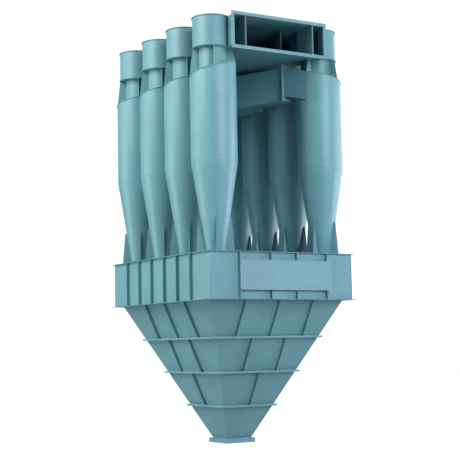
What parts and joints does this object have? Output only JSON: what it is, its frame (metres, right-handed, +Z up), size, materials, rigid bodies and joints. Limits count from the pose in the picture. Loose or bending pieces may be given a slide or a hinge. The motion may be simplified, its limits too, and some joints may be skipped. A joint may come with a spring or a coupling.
{
  "type": "group cyclone dust separator",
  "caption": "Multi-cyclone dust separator: two rows of cyclones between a shared gas header, inlet collector and a ribbed pyramid dust hopper.",
  "frame": {"origin": "centre of the underside of the support flange round the dust box", "axes": "+X across the two rows of cyclones, +Y along the rows away from the clean gas mouth, +Z up"},
  "size_m": [3.376, 4.45, 8.328],
  "materials": {
    "shell_paint": "semi-gloss pale blue-green machine enamel",
    "duct_paint": "semi-gloss pale blue-green machine enamel",
    "casing_paint": "semi-gloss pale blue-green machine enamel",
    "name_plate": "smooth bare name plate in a lighter tone of the same enamel"
  },
  "bodies": {
    "root": {"box_wall_back": "casing_paint", "box_wall_front": "casing_paint", "box_wall_left": "casing_paint", "box_wall_right": "casing_paint", "collector_flange": "duct_paint", "collector_floor": "duct_paint", "collector_roof": "duct_paint", "collector_walls": "duct_paint", "cover_plate": "casing_paint", "crown_gussets": "shell_paint", "cyclone_body_left_1": "shell_paint", "cyclone_body_left_2": "shell_paint", "cyclone_body_left_3": "shell_paint", "cyclone_body_left_4": "shell_paint", "cyclone_body_right_1": "shell_paint", "cyclone_body_right_2": "shell_paint", "cyclone_body_right_3": "shell_paint", "cyclone_body_right_4": "shell_paint", "exhaust_pipes": "duct_paint", "foot_gussets": "shell_paint", "header_floor": "duct_paint", "header_roof": "duct_paint", "header_sides_left": "duct_paint", "header_sides_right": "duct_paint", "helical_lids": "shell_paint", "hopper_ring_lower": "casing_paint", "hopper_ring_middle": "casing_paint", "hopper_ring_upper": "casing_paint", "hopper_shelf": "casing_paint", "hopper_wall_back": "casing_paint", "hopper_wall_front": "casing_paint", "hopper_wall_left": "casing_paint", "hopper_wall_right": "casing_paint", "inlet_nozzles_left": "duct_paint", "inlet_nozzles_right": "duct_paint", "mouth_flange": "duct_paint", "outlet_frame": "casing_paint", "ribs_back": "casing_paint", "ribs_front": "casing_paint", "ribs_left": "casing_paint", "ribs_right": "casing_paint", "scroll_walls_left": "duct_paint", "scroll_walls_right": "duct_paint", "sign_plate": "name_plate", "support_flange": "casing_paint"}
  },
  "joints": []
}
